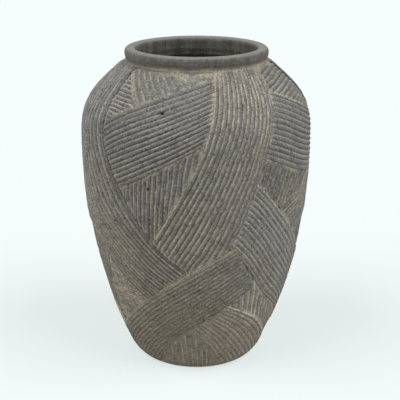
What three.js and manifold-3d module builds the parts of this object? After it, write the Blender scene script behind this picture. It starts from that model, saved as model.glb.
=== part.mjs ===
import * as THREE from "three";
import { mergeVertices } from "three/addons/utils/BufferGeometryUtils.js";
import Module from "manifold-3d";

// Tall vase of fired clay, as the maker puts it together: a hollow wall in three thrown sections, a
// base slab, a thick rolled rim, and a skin of combed clay strips and panels laid over the wall.
// Millimetres, +Z up, the foot on z = 0, the front towards -Y.

// Sizes of the vessel
const HEIGHT = 400;
const FOOT_RADIUS = 82;
const BELLY_RADIUS = 140.4;
const BELLY_HEIGHT = 274.5;
const NECK_RADIUS = 83.5;
const WALL_THICKNESS = 8;
const FOOT_FLARE = THREE.MathUtils.degToRad(22.1);
const SHOULDER_LEAN = THREE.MathUtils.degToRad(48.6);

// The wall's sections meet this far below and above the widest part of the belly
const LOWER_SEAM_DROP = 130;
const UPPER_SEAM_RISE = 27;

// How full the wall's curves are: length of each handle, as a share of the rise that it shapes
const FOOT_FULLNESS = 0.18;
const BELLY_FULLNESS_BELOW = 0.53;
const BELLY_FULLNESS_ABOVE = 0.51;
const SHOULDER_FULLNESS = 0.67;

// Foot ring and the base slab that sits on its ledge
const FOOT_EDGE = 1.5;
const FOOT_RECESS = 4;
const BASE_LEDGE = 6.5;
const BASE_THICKNESS = 10;

// Rolled rim
const RIM_HEIGHT = 15;
const RIM_WIDTH = 14;
const RIM_OVERHANG = 4.5;
const RIM_UNDERSIDE_ROUND = 2.5;

// Combed pieces
const TOP_LAYER = 3;
const MIDDLE_LAYER = 2.6;
const LOW_LAYER = 1.2;
const RIB_DEPTH = 0.9;
const COMB_TEETH = 13;
const BARE_FOOT = 3;
const SLIP_GAP = 0.3;

// Facets, and how far a straight stretch may sink below the true curve: along the wall, along a
// panel, and along a strip as a share of the clay below its grooves
const HALF_TURN_STEPS = 14;
const UNDERSIDE_STEPS = 1;
const RIM_TOP_STEPS = 5;
const PLAIN_SPANS = 4;
const SURVEY_STEPS = 60;
const SEAM_CLEARANCE = 3;
const FINE_STEPS = 480;
const WALL_SAG = 1.2;
const PANEL_SAG = 2;
const STRIP_SAG_SHARE = 0.95;

// Combed pieces are drawn this deep into the wall and this high above it before they are trimmed
const DRAW_DEPTH = 6;
const DRAW_HEIGHT = 12;

const CLAY = { roughness: 0.93, metalness: 0 };
const WALL_COLOUR = 0x5d5c58;
const RIM_COLOUR = 0x4d4f50;
const BASE_COLOUR = 0x6b6459;
const LAYERS = {
  top: { thickness: TOP_LAYER, colour: 0x6f6d66 },
  middle: { thickness: MIDDLE_LAYER, colour: 0x6a6963 },
  low: { thickness: LOW_LAYER, colour: 0x625f58 },
};

// The combed pieces of one side, from the one laid last down to the ones laid first. The comb runs
// along two edges, left and right as seen when looking along its way from outside. An edge's points
// are [degrees round from the front, height in percent].
const PIECES = [
  {
    name: "low_cross_strip", layer: "top", ribbed: true,
    left: [[-94, -3], [-75, 7.5], [-50, 18], [-26, 29.5], [-4, 39], [19, 47]],
    right: [[-50, -9], [-36, 0], [-20, 9.5], [0, 19], [20, 27], [33, 32]],
  },
  {
    name: "left_sweep_strip", layer: "top", ribbed: true,
    left: [[-53, 97], [-49, 77.5], [-38, 63], [-22, 48.5], [-4, 39], [10, 34]],
    right: [[-95, 97], [-86, 75], [-75, 60], [-64, 49], [-44, 35], [-20, 24]],
  },
  {
    name: "centre_strip", layer: "top", ribbed: true,
    left: [[53, 97], [37, 79.5], [29.5, 66], [17, 47.5], [4, 35]],
    right: [[13.5, 97], [2, 75], [-15, 55], [-35, 36]],
  },
  {
    name: "right_fall_strip", layer: "top", ribbed: true,
    left: [[20, 72], [45, 57], [63, 44], [88, 29], [120, 8]],
    right: [[8, 52], [25, 41], [42, 28], [70, 15], [94, -2]],
  },
  {
    name: "upper_left_strip", layer: "middle", ribbed: true,
    left: [[-60, 77.5], [-42, 84.5], [-15, 90.5], [16, 94.5]],
    right: [[-48, 61.5], [-30, 66.5], [0, 77], [12, 81]],
  },
  {
    name: "right_shoulder_strip", layer: "middle", ribbed: true,
    left: [[36, 91.5], [55, 88], [80, 82], [108, 77]],
    right: [[24, 76], [41, 71], [60, 66], [85, 62], [110, 60]],
  },
  {
    name: "foot_right_strip", layer: "middle", ribbed: true,
    left: [[10, 29], [28, 23.4], [41, 18.7], [54, 12.6], [76, 2], [90, -5]],
    right: [[-8, 19], [4, 12], [12, 6], [24, -2], [34, -9]],
  },
  {
    name: "middle_panel", layer: "low",
    left: [[8, 80], [-12, 46]],
    right: [[-42, 65.5], [-30, 46]],
  },
  {
    name: "small_collar_panel", layer: "low",
    left: [[-56, 95.5], [-43, 90.8], [-33, 86]],
    right: [[-56, 78.5], [-33, 84.5]],
  },
  {
    name: "collar_panel", layer: "low",
    left: [[14, 97], [22, 86]],
    right: [[-66, 97], [-48, 86]],
  },
  {
    name: "right_collar_panel", layer: "low",
    left: [[44, 97], [110, 97]],
    right: [[44, 86], [110, 74]],
  },
  {
    name: "right_waist_panel", layer: "low",
    left: [[70, 65.5], [58, 54]],
    right: [[33, 74], [26, 61]],
  },
  {
    name: "right_side_panel", layer: "low",
    left: [[42, 57], [66, 65], [85, 66], [112, 65]],
    right: [[52, 45], [72, 51], [90, 53], [122, 47]],
  },
  {
    name: "left_side_panel", layer: "low",
    left: [[-53, 54], [-56, 35], [-60, 25], [-62, 0]],
    right: [[-122, 54], [-112, 35], [-104, 20], [-84, 0]],
  },
  {
    name: "left_foot_panel", layer: "low",
    left: [[-64, 44], [-30, 37.5]],
    right: [[-64, 15.5], [-30, 14]],
  },
  {
    name: "low_right_panel", layer: "low",
    left: [[92, 36], [98, 16], [102, -2]],
    right: [[12, 40], [14, 22], [28, 6]],
  },
  {
    name: "foot_middle_panel", layer: "low",
    left: [[14, 21], [18, 0]],
    right: [[-30, 21], [-30, 0]],
  },
];

const neckTop = HEIGHT - RIM_HEIGHT;
const mouthRadius = NECK_RADIUS + RIM_OVERHANG - RIM_WIDTH;
const baseTop = FOOT_RECESS + SLIP_GAP + BASE_THICKNESS;
const lowerSeam = BELLY_HEIGHT - LOWER_SEAM_DROP;
const upperSeam = BELLY_HEIGHT + UPPER_SEAM_RISE;

const wasm = await Module();
wasm.setup();

// The wall's outer line in (radius, height): out of the foot, over the belly, in to the neck
function makeWallLine() {
  const lowerRise = BELLY_HEIGHT - FOOT_EDGE;
  const upperRise = neckTop - BELLY_HEIGHT;
  const footPull = FOOT_FULLNESS * lowerRise;
  const neckPull = SHOULDER_FULLNESS * upperRise;
  const line = new THREE.Path();
  line.moveTo(FOOT_RADIUS, FOOT_EDGE);
  line.bezierCurveTo(
    FOOT_RADIUS + footPull * Math.sin(FOOT_FLARE),
    FOOT_EDGE + footPull * Math.cos(FOOT_FLARE),
    BELLY_RADIUS,
    BELLY_HEIGHT - BELLY_FULLNESS_BELOW * lowerRise,
    BELLY_RADIUS,
    BELLY_HEIGHT,
  );
  line.bezierCurveTo(
    BELLY_RADIUS,
    BELLY_HEIGHT + BELLY_FULLNESS_ABOVE * upperRise,
    NECK_RADIUS + neckPull * Math.sin(SHOULDER_LEAN),
    neckTop - neckPull * Math.cos(SHOULDER_LEAN),
    NECK_RADIUS,
    neckTop,
  );
  return line;
}

// Shares of the way along one or more curved lines that run side by side, closer together where they
// bend more. A line is a list of surveyed places { point, heading }, and the heading turns with the
// line. No straight stretch between two stations sinks further than the sag below its line.
function stationsAlong(lines, sag) {
  const travel = [0];
  for (let step = 1; step <= SURVEY_STEPS; step++) {
    const strides = lines.map((places) => {
      const bend = places[step].heading.angleTo(places[step - 1].heading);
      const length = places[step].point.distanceTo(places[step - 1].point);
      return Math.sqrt(bend * length);
    });
    travel.push(travel.at(-1) + Math.max(...strides));
  }
  const total = travel.at(-1);
  // A straight stretch sinks by an eighth of its length times the bend over it
  const count = Math.max(2, Math.ceil(total / Math.sqrt(8 * sag)));
  const stations = [0];
  for (let station = 1; station < count; station++) {
    const goal = (total * station) / count;
    const next = travel.findIndex((value) => value > goal);
    const part = (goal - travel[next - 1]) / (travel[next] - travel[next - 1]);
    stations.push((next - 1 + part) / SURVEY_STEPS);
  }
  return [...stations, 1];
}

function surveyShares() {
  return Array.from({ length: SURVEY_STEPS + 1 }, (_, step) => step / SURVEY_STEPS);
}

const wallLine = makeWallLine();
const finePoints = wallLine.getSpacedPoints(FINE_STEPS);
const wallSurvey = surveyShares().map((share) => ({
  point: wallLine.getPoint(share),
  heading: wallLine.getTangent(share),
}));
const seams = [lowerSeam, upperSeam];
const bends = stationsAlong([wallSurvey], WALL_SAG).map((share) => wallLine.getPoint(share).y);
const clearOfSeams = bends.filter((y) => seams.every((seam) => Math.abs(y - seam) > SEAM_CLEARANCE));
const wallLevels = [...clearOfSeams, ...seams].sort((a, b) => a - b);

// The wall's outer radius at a height, and how far it leans out from upright there. Above the neck
// and below the foot the line runs straight on.
function wallAt(height) {
  let next = finePoints.findIndex((point) => point.y > height);
  if (next < 0) {
    next = finePoints.length - 1;
  }
  next = Math.max(next, 1);
  const below = finePoints[next - 1];
  const above = finePoints[next];
  const rise = above.y - below.y;
  const spread = above.x - below.x;
  return {
    radius: below.x + (spread * (height - below.y)) / rise,
    lean: Math.atan2(spread, rise),
  };
}

// Radius of the surface that lies a distance outside the wall's outer face, or inside it if negative
function offsetRadius(height, distance) {
  const { radius, lean } = wallAt(height);
  return radius + distance / Math.cos(lean);
}

// The wall's inner face, trimmed at the neck to line up with the mouth
function innerRadius(height) {
  const radius = offsetRadius(height, -WALL_THICKNESS);
  return height > BELLY_HEIGHT ? Math.max(radius, mouthRadius) : radius;
}

// Turns a list of [radius, height] points about the upright axis
function revolve(points) {
  const line = points.map(([radius, height]) => new THREE.Vector2(radius, height));
  return new THREE.LatheGeometry(line, 2 * HALF_TURN_STEPS).rotateX(Math.PI / 2);
}

// A loop of [radius, height] points, closed on itself and turned about the upright axis
function revolveLoop(points) {
  return revolve([...points, points[0]]);
}

// Heights of the wall's bends from one height to another, both included
function levelsBetween(bottom, top) {
  return [bottom, ...wallLevels.filter((y) => y > bottom + SLIP_GAP && y < top - SLIP_GAP), top];
}

function outerPoints(bottom, top) {
  return levelsBetween(bottom, top).map((height) => [offsetRadius(height, 0), height]);
}

function innerPoints(top, bottom) {
  const rising = levelsBetween(bottom, top).map((height) => [innerRadius(height), height]);
  return rising.reverse();
}

// The lowest section of the wall, with the foot ring and the ledge for the base slab
function footSectionGeometry() {
  const ledgeRadius = innerRadius(FOOT_RECESS);
  return revolveLoop([
    [ledgeRadius - BASE_LEDGE, 0],
    [FOOT_RADIUS - FOOT_EDGE, 0],
    ...outerPoints(FOOT_EDGE, lowerSeam),
    ...innerPoints(lowerSeam, baseTop),
    [ledgeRadius, FOOT_RECESS],
    [ledgeRadius - BASE_LEDGE, FOOT_RECESS],
  ]);
}

function sectionGeometry(bottom, top) {
  return revolveLoop([...outerPoints(bottom, top), ...innerPoints(top, bottom)]);
}

// A disc whose rim follows the flare of the wall that it is set into
function baseGeometry() {
  const bottom = FOOT_RECESS + SLIP_GAP;
  return revolve([
    [0, bottom],
    [offsetRadius(bottom, -WALL_THICKNESS - SLIP_GAP), bottom],
    [offsetRadius(baseTop, -WALL_THICKNESS - SLIP_GAP), baseTop],
    [0, baseTop],
  ]);
}

// Points on part of an ellipse, from one count of quarter turns to another
function arcPoints(x, y, across, up, fromQuarter, toQuarter, steps) {
  const quarter = Math.PI / 2;
  const arc = new THREE.EllipseCurve(x, y, across, up, fromQuarter * quarter, toQuarter * quarter);
  return arc.getPoints(steps).map((point) => [point.x, point.y]);
}

// A roll of clay, round on top, flat below where it sits on the neck
function rimGeometry() {
  const inner = mouthRadius;
  const outer = mouthRadius + RIM_WIDTH;
  const halfWidth = RIM_WIDTH / 2;
  const halfHeight = RIM_HEIGHT / 2;
  const round = RIM_UNDERSIDE_ROUND;
  const roundHeight = neckTop + SLIP_GAP + round;
  return revolveLoop([
    ...arcPoints(inner + round, roundHeight, round, round, 2, 3, UNDERSIDE_STEPS),
    ...arcPoints(outer - round, roundHeight, round, round, 3, 4, UNDERSIDE_STEPS),
    ...arcPoints(outer - halfWidth, HEIGHT - halfHeight, halfWidth, halfHeight, 0, 2, RIM_TOP_STEPS),
  ]);
}

function toSolid(geometry) {
  const bare = new THREE.BufferGeometry();
  bare.setAttribute("position", geometry.getAttribute("position"));
  bare.setIndex(geometry.getIndex());
  const merged = mergeVertices(bare);
  const vertProperties = new Float32Array(merged.getAttribute("position").array);
  const triVerts = new Uint32Array(merged.getIndex().array);
  return new wasm.Manifold(new wasm.Mesh({ numProp: 3, vertProperties, triVerts }));
}

function toGeometry(solid) {
  const mesh = solid.getMesh();
  const geometry = new THREE.BufferGeometry();
  geometry.setAttribute("position", new THREE.BufferAttribute(mesh.vertProperties, mesh.numProp));
  geometry.setIndex(new THREE.BufferAttribute(mesh.triVerts, 1));
  geometry.computeVertexNormals();
  return geometry;
}

// A layer round the wall, bare at the foot and ending just under the rim, from one distance off the
// wall to another. Its faces run parallel to the wall's own facets.
function layerSolid(near, far) {
  const levels = levelsBetween(BARE_FOOT, neckTop - SLIP_GAP);
  const inside = levels.map((height) => [offsetRadius(height, near), height]);
  const outside = levels.map((height) => [offsetRadius(height, far), height]);
  return toSolid(revolveLoop([...outside, ...inside.reverse()]));
}

// A point over the wall: degrees round from the front, height in percent, millimetres off the wall
function overWall(degrees, percent, lift) {
  const height = (HEIGHT * percent) / 100;
  const { radius, lean } = wallAt(height);
  const turn = THREE.MathUtils.degToRad(degrees);
  const reach = radius + lift * Math.cos(lean);
  return new THREE.Vector3(reach * Math.sin(turn), -reach * Math.cos(turn), height - lift * Math.sin(lean));
}

function edgeCurve(points) {
  return new THREE.SplineCurve(points.map(([degrees, percent]) => new THREE.Vector2(degrees, percent)));
}

// Joins equal closed rings of points into a solid, with the two end rings filled in
function loft(rings, capFaces) {
  const count = rings[0].length;
  const last = (rings.length - 1) * count;
  const index = [];
  for (let start = 0; start < last; start += count) {
    for (let side = 0; side < count; side++) {
      const a = start + side;
      const b = start + ((side + 1) % count);
      index.push(a, b, a + count, b, b + count, a + count);
    }
  }
  for (const [a, b, c] of capFaces) {
    index.push(a, b, c);
    index.push(last + a, last + c, last + b);
  }
  const geometry = new THREE.BufferGeometry().setFromPoints(rings.flat());
  geometry.setIndex(index);
  return geometry;
}

function bandSag(piece) {
  return piece.ribbed ? STRIP_SAG_SHARE * (LAYERS[piece.layer].thickness - RIB_DEPTH) : PANEL_SAG;
}

// A band along a piece's two edges. The section gives [share of the way across, lift] points from
// left to right over the top; below them the band is drawn into the wall. It is widened and
// lengthened by grow on every side, and turned about the vase by turn degrees.
function bandSolid(piece, section, grow, turn) {
  const left = edgeCurve(piece.left);
  const right = edgeCurve(piece.right);
  const lines = [0, 0.5, 1].map((across) =>
    surveyShares().map((share) => {
      const place = left.getPointAt(share).lerp(right.getPointAt(share), across);
      const point = overWall(place.x, place.y, 0);
      return { point, heading: overWall(place.x, place.y, 1).sub(point) };
    }),
  );
  const outline = [...plainSection(-DRAW_DEPTH).reverse(), ...section];
  const rings = stationsAlong(lines, bandSag(piece)).map((station) => {
    const from = left.getPointAt(station);
    const to = right.getPointAt(station);
    const width = overWall(from.x, from.y, 0).distanceTo(overWall(to.x, to.y, 0));
    return outline.map(([share, lift]) => {
      const place = from.clone().lerp(to, share + (2 * share - 1) * (grow / width));
      return overWall(place.x + turn, place.y, lift);
    });
  });
  if (grow > 0) {
    lengthen(rings[0], rings[1], grow);
    lengthen(rings.at(-1), rings.at(-2), grow);
  }
  const flat = outline.map(([share, lift]) => new THREE.Vector2(share, lift));
  return toSolid(loft(rings, THREE.ShapeUtils.triangulateShape(flat, [])));
}

// Moves an end ring straight on, away from its neighbour
function lengthen(ring, neighbour, distance) {
  ring.forEach((point, i) => {
    const onward = point.clone().sub(neighbour[i]).setLength(distance);
    point.add(onward);
  });
}

// The top of a combed strip: a crest for each tooth gap of the comb, with grooves between
function ribbedSection(top) {
  const spans = 2 * COMB_TEETH;
  const section = [];
  for (let span = 0; span <= spans; span++) {
    const depth = span % 2 === 0 ? RIB_DEPTH : 0;
    section.push([span / spans, top - depth]);
  }
  return section;
}

function plainSection(lift) {
  const section = [];
  for (let span = 0; span <= PLAIN_SPANS; span++) {
    section.push([span / PLAIN_SPANS, lift]);
  }
  return section;
}

// A section drawn high above the clay, whose sides bend where those of the section inside it end
function tallSection(inner) {
  const section = plainSection(DRAW_HEIGHT);
  return inner ? [inner[0], ...section, inner.at(-1)] : section;
}

function largestBody(solid) {
  const bodies = solid.decompose();
  return bodies.reduce((best, body) => (body.volume() > best.volume() ? body : best));
}

// Shapes of one side's combed pieces. Each keeps clear of the wall, and of every piece laid after it
// on either side.
function combedGeometries() {
  const laidAfter = [];
  const geometries = new Map();
  for (const piece of PIECES) {
    const top = SLIP_GAP + LAYERS[piece.layer].thickness;
    const ribs = piece.ribbed ? ribbedSection(top) : null;
    const layer = layerSolid(SLIP_GAP, ribs ? DRAW_HEIGHT : top);
    let body = bandSolid(piece, ribs ?? tallSection(), 0, 0).intersect(layer);
    for (const cutter of laidAfter) {
      body = body.subtract(cutter);
    }
    geometries.set(piece, toGeometry(largestBody(body)));
    for (const turn of [0, 180]) {
      laidAfter.push(bandSolid(piece, tallSection(ribs), SLIP_GAP, turn));
    }
  }
  return geometries;
}

function clayMesh(name, geometry, color) {
  const mesh = new THREE.Mesh(geometry, new THREE.MeshStandardMaterial({ color, ...CLAY }));
  mesh.name = name;
  return mesh;
}

const vase = new THREE.Group();
vase.add(clayMesh("wall_foot", footSectionGeometry(), WALL_COLOUR));
vase.add(clayMesh("wall_belly", sectionGeometry(lowerSeam + SLIP_GAP, upperSeam), WALL_COLOUR));
vase.add(clayMesh("wall_shoulder", sectionGeometry(upperSeam + SLIP_GAP, neckTop), WALL_COLOUR));
vase.add(clayMesh("base_slab", baseGeometry(), BASE_COLOUR));
vase.add(clayMesh("rim_ring", rimGeometry(), RIM_COLOUR));

// The same combed pieces cover the front and, turned half round, the back
const combed = combedGeometries();
for (const [side, turn] of [["front", 0], ["back", Math.PI]]) {
  const skin = new THREE.Group();
  skin.rotation.z = turn;
  for (const [piece, geometry] of combed) {
    skin.add(clayMesh(`${side}_${piece.name}`, geometry, LAYERS[piece.layer].colour));
  }
  vase.add(skin);
}

export default vase;
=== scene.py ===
"""Tall vase of combed clay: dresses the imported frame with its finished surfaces.

The wall, base and rim are turned forms. Each combed strip and panel is a ribbon of clay with its
comb marks in the mesh, laid over the wall in order, and pressed down where a later one covers it.
Metres, +Z up, the foot on z = 0, the front towards -Y.
"""

import math

import bpy
import numpy as np
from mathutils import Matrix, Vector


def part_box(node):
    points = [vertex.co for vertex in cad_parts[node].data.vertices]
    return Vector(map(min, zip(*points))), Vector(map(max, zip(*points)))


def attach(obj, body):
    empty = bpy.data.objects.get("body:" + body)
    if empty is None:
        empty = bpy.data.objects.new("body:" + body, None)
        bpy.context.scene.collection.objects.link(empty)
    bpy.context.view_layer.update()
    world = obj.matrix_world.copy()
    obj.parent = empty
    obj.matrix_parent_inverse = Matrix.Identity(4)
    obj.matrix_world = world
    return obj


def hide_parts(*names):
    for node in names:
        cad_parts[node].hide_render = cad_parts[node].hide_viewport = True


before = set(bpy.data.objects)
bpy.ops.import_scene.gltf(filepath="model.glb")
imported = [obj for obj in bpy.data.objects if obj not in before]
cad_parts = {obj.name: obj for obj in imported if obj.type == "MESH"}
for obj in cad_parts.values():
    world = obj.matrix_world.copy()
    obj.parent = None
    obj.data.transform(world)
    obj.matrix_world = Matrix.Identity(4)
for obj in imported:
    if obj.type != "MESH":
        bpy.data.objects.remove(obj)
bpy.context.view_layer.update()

bl_info = {
    "name": "Combed Clay Vase",
    "version": (1, 0, 0),
    "blender": (4, 5, 0),
    "location": "View3D > Sidebar > Vase",
    "description": "Dresses the frame of a tall vase with combed clay",
    "category": "Object",
}

MM = 0.001
BODY = "root"
BAKE_MAP = "OFBake"
RIM_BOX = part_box("rim_ring")
BASE_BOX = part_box("base_slab")
WALL_NODES = ("wall_foot", "wall_belly", "wall_shoulder")
WALL_BOXES = {node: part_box(node) for node in WALL_NODES}

# The combed pieces of one side, from the one laid last down to those laid first, as in the frame.
# left and right are a piece's edges, as (degrees round from the front, height in percent) along
# the comb's way. comb gives the lines that the comb followed where it didn't run along these.
# In millimetres: crest is the height of the ribs over the wall, groove their depth, border the
# width of the smooth margins at the left and right edges, bevel how far these slope down.
# The rest are shares, two where left and right differ. Of the wash: wash is what the grooves hold,
# dust the crests, pale the margins, line the very edges, seam the clay beside later pieces. Of the
# clay: shade is how dark the painted shade on the grooves' shaded sides is, light how pale the
# crests are, dim how dark the painted shadow along the very edges is, tone how pale the whole
# piece is. Of the comb: round is the power of the ribs' curve, strength fades the marks from left
# to right, tilt says which side of a groove takes the painted shade where the comb ran too upright
# to tell. columns is the number of mesh columns on a rib.
# PLAIN is what a piece has where its plan doesn't say.
PLAIN = dict(
    border=(1.5, 1.5), bevel=(0.0, 0.0), dust=0.0, pale=(0.0, 0.0), line=(0.2, 0.2), seam=1.0,
    shade=1.0, light=0.0, dim=(0.0, 0.0), tone=1.0, strength=(1.0, 1.0),
)
# The inner edge of the left sweep, and the line on its outer side that its comb followed
SWEEP_INNER = [(-53, 97), (-49, 77.5), (-38, 63), (-22, 48.5), (-4, 39), (10, 34)]
SWEEP_OUTER = [
    (-106, 97), (-100, 75), (-92, 58), (-84, 50), (-69, 46.2), (-57, 42.2), (-44, 35), (-20, 24),
]
STRIPS = [
    dict(
        name="low_cross_strip", ribs=12, crest=3.5, groove=1.1, border=(6.0, 2.5), wash=0.45,
        shade=0.75, pale=(0.5, 0.0), line=(0.3, 0.1), strength=(1.0, 0.65), tone=1.05,
        left=[(-94, -3), (-75, 7.5), (-50, 18), (-26, 29.5), (-4, 39), (19, 47)],
        right=[(-50, -9), (-36, 0), (-20, 9.5), (0, 19), (20, 27), (33, 32)],
    ),
    dict(
        name="left_sweep_strip", ribs=13, crest=3.7, groove=2.2, border=(4.5, 2.5), wash=0.15,
        dust=0.2, light=0.9, shade=2.0, tilt=0.7, line=(0.0, 0.4), bevel=(1.0, 0.0),
        dim=(0.2, 0.0), tone=0.94,
        left=SWEEP_INNER,
        right=[
            (-93, 97), (-89, 75), (-88, 58), (-85, 49.8), (-69, 46.4), (-57, 42.2), (-44, 35),
            (-20, 24),
        ],
        comb=(SWEEP_INNER, SWEEP_OUTER),
    ),
    dict(
        name="centre_strip", ribs=12, crest=3.1, groove=1.6, border=(3.5, 6.5), wash=1.05,
        shade=1.5, tilt=-0.7, line=(0.1, 0.9), tone=1.04,
        left=[(53, 97), (37, 79.5), (29.5, 66), (17, 47.5), (4, 35)],
        right=[(13.5, 97), (2, 75), (-15, 55), (-35, 36)],
    ),
    dict(
        name="right_fall_strip", ribs=12, crest=3.0, groove=0.75, border=(5.0, 2.5), wash=0.45,
        shade=0.3, line=(0.8, 0.2), seam=0.35, tone=1.18,
        left=[(20, 72), (34, 63), (45, 55.5), (63, 44), (88, 29), (120, 8)],
        right=[(8, 52), (25, 41), (42, 28), (70, 15), (94, -2)],
    ),
    dict(
        name="upper_left_strip", ribs=12, crest=2.8, groove=1.6, border=(5.0, 4.5), wash=0.45,
        shade=0.4, round=0.6, line=(0.2, 0.2), tone=0.95,
        left=[(-60, 77.5), (-42, 84.5), (-15, 90.5), (16, 94.5)],
        right=[(-48, 61.5), (-30, 66.5), (0, 77), (12, 81)],
    ),
    dict(
        name="right_shoulder_strip", ribs=11, crest=2.8, groove=1.6, border=(3.0, 5.5), wash=0.5,
        shade=0.55, round=0.65, line=(0.2, 0.2), tone=1.07,
        left=[(36, 91.5), (55, 88), (80, 82), (108, 77)],
        right=[(24, 76), (41, 71), (60, 66), (85, 62), (110, 60)],
    ),
    dict(
        name="foot_right_strip", ribs=11, crest=2.7, groove=1.2, border=(5.0, 2.5), wash=0.42,
        shade=0.85, line=(0.6, 0.1), seam=0.4, tone=1.43,
        left=[(10, 29), (28, 23.4), (41, 18.7), (54, 12.6), (76, 2), (90, -5)],
        right=[(-8, 19), (4, 12), (12, 6), (24, -2), (34, -9)],
    ),
]
PANELS = [
    dict(
        name="middle_panel", ribs=19, crest=1.8, groove=1.4, wash=0.9, shade=1.35, tilt=-0.6,
        tone=0.95,
        left=[(8, 80), (-12, 46)],
        right=[(-42, 65.5), (-30, 46)],
        comb=([(9, 81), (2, 62), (-2, 44)], [(-43, 81), (-43, 44)]),
    ),
    dict(
        name="small_collar_panel", ribs=18, crest=1.8, groove=1.2, wash=0.85,
        left=[(-56, 95.5), (-43, 90.8), (-33, 86)],
        right=[(-56, 78.5), (-33, 84.5)],
        comb=([(-58, 97), (-30, 96)], [(-58, 79), (-30, 78)]),
    ),
    dict(
        name="collar_panel", ribs=14, crest=1.7, groove=1.3, wash=0.75, shade=1.5,
        strength=(0.3, 1.15), tone=0.95,
        left=[(14, 97), (22, 86)],
        right=[(-66, 97), (-48, 86)],
        comb=([(8, 98), (20, 94), (32, 85)], [(-66, 98), (-53, 93.2), (-41, 89), (-28, 83)]),
    ),
    dict(
        name="right_collar_panel", ribs=24, crest=2.2, groove=1.2, wash=0.5, shade=0.85,
        tone=1.04,
        left=[(44, 97), (110, 97)],
        right=[(44, 86), (110, 74)],
        comb=(
            [(36, 97), (56, 98.6), (66, 99.2), (76, 99.5), (86, 99.5), (112, 99.5)],
            [(36, 71), (56, 72.6), (66, 73.2), (76, 73.5), (86, 73.5), (112, 73.5)],
        ),
    ),
    dict(
        name="right_side_panel", ribs=10, crest=2.6, groove=1.3, border=(2.5, 1.5), wash=0.5,
        line=(0.6, 0.0), tone=0.95,
        left=[(42, 56.3), (51.5, 58.2), (60, 59.3), (67, 62), (76, 65.5), (90, 66), (112, 65)],
        right=[(52, 44), (72, 48.5), (90, 51.5), (122, 47)],
    ),
    dict(
        name="right_waist_panel", ribs=13, crest=2.2, groove=1.6, wash=0.75, shade=1.8, tilt=-0.6,
        seam=1.3, tone=0.82,
        left=[(70, 65.5), (58, 54)],
        right=[(33, 74), (26, 61)],
    ),
    dict(
        name="left_side_panel", ribs=22, crest=1.4, groove=0.8, border=(4.0, 1.5), wash=0.4,
        tilt=0.5, shade=1.2, pale=(0.4, 0.0), dim=(0.8, 0.0), line=(0.0, 0.0),
        left=[(-53, 54), (-56, 35), (-60, 25), (-62, 0)],
        right=[(-122, 54), (-112, 35), (-104, 20), (-84, 0)],
    ),
    dict(
        name="left_foot_panel", ribs=36, crest=1.6, groove=1.0, wash=0.8, dust=0.3, shade=1.0,
        columns=6, tone=1.08,
        left=[(-64, 44), (-30, 37.5)],
        right=[(-64, 15.5), (-30, 14)],
        comb=([(-66, 45), (-28, 45)], [(-66, 13), (-28, 13)]),
    ),
    dict(
        name="low_right_panel", ribs=22, crest=1.7, groove=1.2, wash=0.7, tilt=0.6, shade=0.8,
        tone=1.5,
        left=[(92, 36), (98, 16), (102, -2)],
        right=[(12, 40), (14, 22), (28, 6)],
    ),
    dict(
        name="foot_middle_panel", ribs=12, crest=1.7, groove=1.1, wash=0.6, tilt=0.6, shade=0.7,
        seam=0.5, tone=1.27,
        left=[(14, 21), (18, 0)],
        right=[(-30, 21), (-30, 0)],
    ),
]
SIDES = {"front": 0.0, "back": math.pi}
# Degrees by which the front's outlines turn to stand for both sides, whichever way round
HALF_TURNS = (-180, 0, 180)

# Pits in the clay, painted near-black as painted shade in their hollows: the piece, degrees,
# percent of the height, radius in millimetres
PITS = [
    ("upper_left_strip", -17.2, 85.9, 2.5),
    ("middle_panel", -22.9, 64.9, 2.4),
]


def length(name, default, description):
    return bpy.props.FloatProperty(
        name=name, description=description, default=default, subtype="DISTANCE", unit="LENGTH",
        precision=4,
    )


def angle(name, degrees, description):
    return bpy.props.FloatProperty(
        name=name, description=description, default=math.radians(degrees), subtype="ANGLE",
        unit="ROTATION",
    )


def share(name, default, description):
    return bpy.props.FloatProperty(name=name, description=description, default=default)


def colour(name, default, description):
    return bpy.props.FloatVectorProperty(
        name=name, description=description, default=default, subtype="COLOR", size=3, min=0, max=1
    )


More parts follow.
